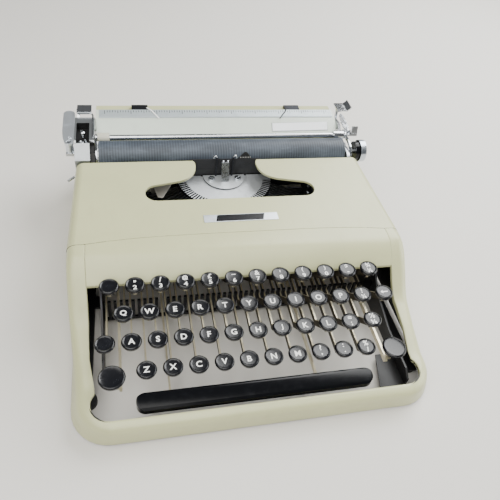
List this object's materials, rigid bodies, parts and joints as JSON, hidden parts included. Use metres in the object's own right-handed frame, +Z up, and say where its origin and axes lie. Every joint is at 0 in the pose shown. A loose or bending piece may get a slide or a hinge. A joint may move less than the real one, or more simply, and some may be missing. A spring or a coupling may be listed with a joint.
{
  "type": "portable typewriter",
  "caption": "Portable typewriter with hinged keys, space bar and shift, a sliding carriage with turning platen, paper bail and return lever, and a lift-off ribbon cover.",
  "frame": {"origin": "middle of the bounding box's footprint, on the table the feet stand on", "axes": "+X to the typist's right, +Y from the keyboard to the carriage, +Z up"},
  "size_m": [0.3, 0.32, 0.0883],
  "materials": {
    "body_paint": "satin greige enamel",
    "chassis_paint": "semi-gloss black",
    "type_steel": "machined",
    "ribbon_black": "matt black",
    "carriage_paint": "satin greige enamel",
    "bright_chrome": "polished",
    "platen_rubber": "finely ground rubber",
    "table_paint": "satin cream-grey enamel",
    "lever_aluminium": "satin",
    "key_plastic": "glossy black"
  },
  "bodies": {
    "machine": {"body_shell": "body_paint", "chassis": "chassis_paint", "type_basket": "type_steel", "ribbon_gear": "ribbon_black"},
    "cover": {"ribbon_cover": "body_paint"},
    "carriage": {"carriage_frame": "carriage_paint", "paper_table": "table_paint"},
    "carriage_release_lever": {"carriage_release": "bright_chrome"},
    "platen_roller": {"platen": "platen_rubber"},
    "bail": {"paper_bail": "bright_chrome"},
    "line_lever": {"return_lever": "lever_aluminium"},
    "paper_release_lever": {"paper_release": "bright_chrome"},
    "space": {"space_bar": "key_plastic"},
    "shift": {"shift_keys": "key_plastic"},
    "b_key_z": {"key_z": "key_plastic"},
    "b_key_x": {"key_x": "key_plastic"},
    "b_key_c": {"key_c": "key_plastic"},
    "b_key_v": {"key_v": "key_plastic"},
    "b_key_b": {"key_b": "key_plastic"},
    "b_key_n": {"key_n": "key_plastic"},
    "b_key_m": {"key_m": "key_plastic"},
    "b_key_comma": {"key_comma": "key_plastic"},
    "b_key_period": {"key_period": "key_plastic"},
    "b_key_slash": {"key_slash": "key_plastic"},
    "b_key_a": {"key_a": "key_plastic"},
    "b_key_s": {"key_s": "key_plastic"},
    "b_key_d": {"key_d": "key_plastic"},
    "b_key_f": {"key_f": "key_plastic"},
    "b_key_g": {"key_g": "key_plastic"},
    "b_key_h": {"key_h": "key_plastic"},
    "b_key_j": {"key_j": "key_plastic"},
    "b_key_k": {"key_k": "key_plastic"},
    "b_key_l": {"key_l": "key_plastic"},
    "b_key_semicolon": {"key_semicolon": "key_plastic"},
    "b_key_eighth": {"key_eighth": "key_plastic"},
    "b_key_q": {"key_q": "key_plastic"},
    "b_key_w": {"key_w": "key_plastic"},
    "b_key_e": {"key_e": "key_plastic"},
    "b_key_r": {"key_r": "key_plastic"},
    "b_key_t": {"key_t": "key_plastic"},
    "b_key_y": {"key_y": "key_plastic"},
    "b_key_u": {"key_u": "key_plastic"},
    "b_key_i": {"key_i": "key_plastic"},
    "b_key_o": {"key_o": "key_plastic"},
    "b_key_p": {"key_p": "key_plastic"},
    "b_key_quarter": {"key_quarter": "key_plastic"},
    "b_key_2": {"key_2": "key_plastic"},
    "b_key_3": {"key_3": "key_plastic"},
    "b_key_4": {"key_4": "key_plastic"},
    "b_key_5": {"key_5": "key_plastic"},
    "b_key_6": {"key_6": "key_plastic"},
    "b_key_7": {"key_7": "key_plastic"},
    "b_key_8": {"key_8": "key_plastic"},
    "b_key_9": {"key_9": "key_plastic"},
    "b_key_0": {"key_0": "key_plastic"},
    "b_key_hyphen": {"key_hyphen": "key_plastic"},
    "b_key_half": {"key_half": "key_plastic"},
    "b_shift_lock_key": {"shift_lock_key": "key_plastic"},
    "b_backspace_key": {"backspace_key": "key_plastic"},
    "b_margin_release_key": {"margin_release_key": "key_plastic"}
  },
  "joints": [
    {"name": "cover_lift", "type": "slide", "parent": "machine", "child": "cover", "axis": [0, 0, 1], "range_m": [0, 0.06]},
    {"name": "carriage_travel", "type": "slide", "parent": "machine", "child": "carriage", "axis": [1, 0, 0], "range_m": [-0.105, 0.105]},
    {"name": "platen_turn", "type": "hinge", "parent": "carriage", "child": "platen_roller", "pos_m": [0, 0.095, 0.065], "axis": [1, 0, 0], "continuous": true},
    {"name": "bail_lift", "type": "hinge", "parent": "carriage", "child": "bail", "pos_m": [0, 0.0845, 0.058], "axis": [1, 0, 0], "range_deg": [0, 31]},
    {"name": "return_lever_swing", "type": "hinge", "parent": "carriage", "child": "line_lever", "pos_m": [-0.1435, 0.097, 0.078], "axis": [0, 0, 1], "range_deg": [0, 75]},
    {"name": "paper_release_pull", "type": "hinge", "parent": "carriage", "child": "paper_release_lever", "pos_m": [0.134, 0.124, 0.062], "axis": [1, 0, 0], "range_deg": [0, 8]},
    {"name": "carriage_release_press", "type": "hinge", "parent": "carriage", "child": "carriage_release_lever", "pos_m": [0, 0.143, 0.07], "axis": [-1, 0, 0], "range_deg": [0, 10], "stiffness_Nm_per_rad": 0.06, "springref_deg": -20.05},
    {"name": "space_bar_press", "type": "hinge", "parent": "machine", "child": "space", "pos_m": [0, 0.076, 0.02], "axis": [1, 0, 0], "range_deg": [0, 2.1], "stiffness_Nm_per_rad": 0.5, "springref_deg": -22.92},
    {"name": "shift_press", "type": "hinge", "parent": "machine", "child": "shift", "pos_m": [0, 0.076, 0.02], "axis": [1, 0, 0], "range_deg": [0, 2.5], "stiffness_Nm_per_rad": 0.8, "springref_deg": -22.92},
    {"name": "key_z_press", "type": "hinge", "parent": "machine", "child": "b_key_z", "pos_m": [0, 0.076, 0.02], "axis": [1, 0, 0], "range_deg": [0, 3.18], "stiffness_Nm_per_rad": 0.3, "springref_deg": -20.05},
    {"name": "key_x_press", "type": "hinge", "parent": "machine", "child": "b_key_x", "pos_m": [0, 0.076, 0.02], "axis": [1, 0, 0], "range_deg": [0, 3.18], "stiffness_Nm_per_rad": 0.3, "springref_deg": -20.05},
    {"name": "key_c_press", "type": "hinge", "parent": "machine", "child": "b_key_c", "pos_m": [0, 0.076, 0.02], "axis": [1, 0, 0], "range_deg": [0, 3.18], "stiffness_Nm_per_rad": 0.3, "springref_deg": -20.05},
    {"name": "key_v_press", "type": "hinge", "parent": "machine", "child": "b_key_v", "pos_m": [0, 0.076, 0.02], "axis": [1, 0, 0], "range_deg": [0, 3.18], "stiffness_Nm_per_rad": 0.3, "springref_deg": -20.05},
    {"name": "key_b_press", "type": "hinge", "parent": "machine", "child": "b_key_b", "pos_m": [0, 0.076, 0.02], "axis": [1, 0, 0], "range_deg": [0, 3.18], "stiffness_Nm_per_rad": 0.3, "springref_deg": -20.05},
    {"name": "key_n_press", "type": "hinge", "parent": "machine", "child": "b_key_n", "pos_m": [0, 0.076, 0.02], "axis": [1, 0, 0], "range_deg": [0, 3.18], "stiffness_Nm_per_rad": 0.3, "springref_deg": -20.05},
    {"name": "key_m_press", "type": "hinge", "parent": "machine", "child": "b_key_m", "pos_m": [0, 0.076, 0.02], "axis": [1, 0, 0], "range_deg": [0, 3.18], "stiffness_Nm_per_rad": 0.3, "springref_deg": -20.05},
    {"name": "key_comma_press", "type": "hinge", "parent": "machine", "child": "b_key_comma", "pos_m": [0, 0.076, 0.02], "axis": [1, 0, 0], "range_deg": [0, 3.18], "stiffness_Nm_per_rad": 0.3, "springref_deg": -20.05},
    {"name": "key_period_press", "type": "hinge", "parent": "machine", "child": "b_key_period", "pos_m": [0, 0.076, 0.02], "axis": [1, 0, 0], "range_deg": [0, 3.18], "stiffness_Nm_per_rad": 0.3, "springref_deg": -20.05},
    {"name": "key_slash_press", "type": "hinge", "parent": "machine", "child": "b_key_slash", "pos_m": [0, 0.076, 0.02], "axis": [1, 0, 0], "range_deg": [0, 3.18], "stiffness_Nm_per_rad": 0.3, "springref_deg": -20.05},
    {"name": "key_a_press", "type": "hinge", "parent": "machine", "child": "b_key_a", "pos_m": [0, 0.076, 0.02], "axis": [1, 0, 0], "range_deg": [0, 3.52], "stiffness_Nm_per_rad": 0.3, "springref_deg": -20.05},
    {"name": "key_s_press", "type": "hinge", "parent": "machine", "child": "b_key_s", "pos_m": [0, 0.076, 0.02], "axis": [1, 0, 0], "range_deg": [0, 3.52], "stiffness_Nm_per_rad": 0.3, "springref_deg": -20.05},
    {"name": "key_d_press", "type": "hinge", "parent": "machine", "child": "b_key_d", "pos_m": [0, 0.076, 0.02], "axis": [1, 0, 0], "range_deg": [0, 3.52], "stiffness_Nm_per_rad": 0.3, "springref_deg": -20.05},
    {"name": "key_f_press", "type": "hinge", "parent": "machine", "child": "b_key_f", "pos_m": [0, 0.076, 0.02], "axis": [1, 0, 0], "range_deg": [0, 3.52], "stiffness_Nm_per_rad": 0.3, "springref_deg": -20.05},
    {"name": "key_g_press", "type": "hinge", "parent": "machine", "child": "b_key_g", "pos_m": [0, 0.076, 0.02], "axis": [1, 0, 0], "range_deg": [0, 3.52], "stiffness_Nm_per_rad": 0.3, "springref_deg": -20.05},
    {"name": "key_h_press", "type": "hinge", "parent": "machine", "child": "b_key_h", "pos_m": [0, 0.076, 0.02], "axis": [1, 0, 0], "range_deg": [0, 3.52], "stiffness_Nm_per_rad": 0.3, "springref_deg": -20.05},
    {"name": "key_j_press", "type": "hinge", "parent": "machine", "child": "b_key_j", "pos_m": [0, 0.076, 0.02], "axis": [1, 0, 0], "range_deg": [0, 3.52], "stiffness_Nm_per_rad": 0.3, "springref_deg": -20.05},
    {"name": "key_k_press", "type": "hinge", "parent": "machine", "child": "b_key_k", "pos_m": [0, 0.076, 0.02], "axis": [1, 0, 0], "range_deg": [0, 3.52], "stiffness_Nm_per_rad": 0.3, "springref_deg": -20.05},
    {"name": "key_l_press", "type": "hinge", "parent": "machine", "child": "b_key_l", "pos_m": [0, 0.076, 0.02], "axis": [1, 0, 0], "range_deg": [0, 3.52], "stiffness_Nm_per_rad": 0.3, "springref_deg": -20.05},
    {"name": "key_semicolon_press", "type": "hinge", "parent": "machine", "child": "b_key_semicolon", "pos_m": [0, 0.076, 0.02], "axis": [1, 0, 0], "range_deg": [0, 3.52], "stiffness_Nm_per_rad": 0.3, "springref_deg": -20.05},
    {"name": "key_eighth_press", "type": "hinge", "parent": "machine", "child": "b_key_eighth", "pos_m": [0, 0.076, 0.02], "axis": [1, 0, 0], "range_deg": [0, 3.52], "stiffness_Nm_per_rad": 0.3, "springref_deg": -20.05},
    {"name": "key_q_press", "type": "hinge", "parent": "machine", "child": "b_key_q", "pos_m": [0, 0.076, 0.02], "axis": [1, 0, 0], "range_deg": [0, 3.93], "stiffness_Nm_per_rad": 0.3, "springref_deg": -20.05},
    {"name": "key_w_press", "type": "hinge", "parent": "machine", "child": "b_key_w", "pos_m": [0, 0.076, 0.02], "axis": [1, 0, 0], "range_deg": [0, 3.93], "stiffness_Nm_per_rad": 0.3, "springref_deg": -20.05},
    {"name": "key_e_press", "type": "hinge", "parent": "machine", "child": "b_key_e", "pos_m": [0, 0.076, 0.02], "axis": [1, 0, 0], "range_deg": [0, 3.93], "stiffness_Nm_per_rad": 0.3, "springref_deg": -20.05},
    {"name": "key_r_press", "type": "hinge", "parent": "machine", "child": "b_key_r", "pos_m": [0, 0.076, 0.02], "axis": [1, 0, 0], "range_deg": [0, 3.93], "stiffness_Nm_per_rad": 0.3, "springref_deg": -20.05},
    {"name": "key_t_press", "type": "hinge", "parent": "machine", "child": "b_key_t", "pos_m": [0, 0.076, 0.02], "axis": [1, 0, 0], "range_deg": [0, 3.93], "stiffness_Nm_per_rad": 0.3, "springref_deg": -20.05},
    {"name": "key_y_press", "type": "hinge", "parent": "machine", "child": "b_key_y", "pos_m": [0, 0.076, 0.02], "axis": [1, 0, 0], "range_deg": [0, 3.93], "stiffness_Nm_per_rad": 0.3, "springref_deg": -20.05},
    {"name": "key_u_press", "type": "hinge", "parent": "machine", "child": "b_key_u", "pos_m": [0, 0.076, 0.02], "axis": [1, 0, 0], "range_deg": [0, 3.93], "stiffness_Nm_per_rad": 0.3, "springref_deg": -20.05},
    {"name": "key_i_press", "type": "hinge", "parent": "machine", "child": "b_key_i", "pos_m": [0, 0.076, 0.02], "axis": [1, 0, 0], "range_deg": [0, 3.93], "stiffness_Nm_per_rad": 0.3, "springref_deg": -20.05},
    {"name": "key_o_press", "type": "hinge", "parent": "machine", "child": "b_key_o", "pos_m": [0, 0.076, 0.02], "axis": [1, 0, 0], "range_deg": [0, 3.93], "stiffness_Nm_per_rad": 0.3, "springref_deg": -20.05},
    {"name": "key_p_press", "type": "hinge", "parent": "machine", "child": "b_key_p", "pos_m": [0, 0.076, 0.02], "axis": [1, 0, 0], "range_deg": [0, 3.93], "stiffness_Nm_per_rad": 0.3, "springref_deg": -20.05},
    {"name": "key_quarter_press", "type": "hinge", "parent": "machine", "child": "b_key_quarter", "pos_m": [0, 0.076, 0.02], "axis": [1, 0, 0], "range_deg": [0, 3.93], "stiffness_Nm_per_rad": 0.3, "springref_deg": -20.05},
    {"name": "key_2_press", "type": "hinge", "parent": "machine", "child": "b_key_2", "pos_m": [0, 0.076, 0.02], "axis": [1, 0, 0], "range_deg": [0, 4.46], "stiffness_Nm_per_rad": 0.3, "springref_deg": -20.05},
    {"name": "key_3_press", "type": "hinge", "parent": "machine", "child": "b_key_3", "pos_m": [0, 0.076, 0.02], "axis": [1, 0, 0], "range_deg": [0, 4.46], "stiffness_Nm_per_rad": 0.3, "springref_deg": -20.05},
    {"name": "key_4_press", "type": "hinge", "parent": "machine", "child": "b_key_4", "pos_m": [0, 0.076, 0.02], "axis": [1, 0, 0], "range_deg": [0, 4.46], "stiffness_Nm_per_rad": 0.3, "springref_deg": -20.05},
    {"name": "key_5_press", "type": "hinge", "parent": "machine", "child": "b_key_5", "pos_m": [0, 0.076, 0.02], "axis": [1, 0, 0], "range_deg": [0, 4.46], "stiffness_Nm_per_rad": 0.3, "springref_deg": -20.05},
    {"name": "key_6_press", "type": "hinge", "parent": "machine", "child": "b_key_6", "pos_m": [0, 0.076, 0.02], "axis": [1, 0, 0], "range_deg": [0, 4.46], "stiffness_Nm_per_rad": 0.3, "springref_deg": -20.05},
    {"name": "key_7_press", "type": "hinge", "parent": "machine", "child": "b_key_7", "pos_m": [0, 0.076, 0.02], "axis": [1, 0, 0], "range_deg": [0, 4.46], "stiffness_Nm_per_rad": 0.3, "springref_deg": -20.05},
    {"name": "key_8_press", "type": "hinge", "parent": "machine", "child": "b_key_8", "pos_m": [0, 0.076, 0.02], "axis": [1, 0, 0], "range_deg": [0, 4.46], "stiffness_Nm_per_rad": 0.3, "springref_deg": -20.05},
    {"name": "key_9_press", "type": "hinge", "parent": "machine", "child": "b_key_9", "pos_m": [0, 0.076, 0.02], "axis": [1, 0, 0], "range_deg": [0, 4.46], "stiffness_Nm_per_rad": 0.3, "springref_deg": -20.05},
    {"name": "key_0_press", "type": "hinge", "parent": "machine", "child": "b_key_0", "pos_m": [0, 0.076, 0.02], "axis": [1, 0, 0], "range_deg": [0, 4.46], "stiffness_Nm_per_rad": 0.3, "springref_deg": -20.05},
    {"name": "key_hyphen_press", "type": "hinge", "parent": "machine", "child": "b_key_hyphen", "pos_m": [0, 0.076, 0.02], "axis": [1, 0, 0], "range_deg": [0, 4.46], "stiffness_Nm_per_rad": 0.3, "springref_deg": -20.05},
    {"name": "key_half_press", "type": "hinge", "parent": "machine", "child": "b_key_half", "pos_m": [0, 0.076, 0.02], "axis": [1, 0, 0], "range_deg": [0, 4.46], "stiffness_Nm_per_rad": 0.3, "springref_deg": -20.05},
    {"name": "shift_lock_press", "type": "hinge", "parent": "machine", "child": "b_shift_lock_key", "pos_m": [0, 0.076, 0.02], "axis": [1, 0, 0], "range_deg": [0, 2.5]},
    {"name": "backspace_key_press", "type": "hinge", "parent": "machine", "child": "b_backspace_key", "pos_m": [0, 0.076, 0.02], "axis": [1, 0, 0], "range_deg": [0, 3.93], "stiffness_Nm_per_rad": 0.3, "springref_deg": -20.05},
    {"name": "margin_release_key_press", "type": "hinge", "parent": "machine", "child": "b_margin_release_key", "pos_m": [0, 0.076, 0.02], "axis": [1, 0, 0], "range_deg": [0, 4.46], "stiffness_Nm_per_rad": 0.3, "springref_deg": -20.05}
  ],
  "couplings": [
    {"joint": "shift_lock_press", "follows": "shift_press", "ratio": 1}
  ]
}
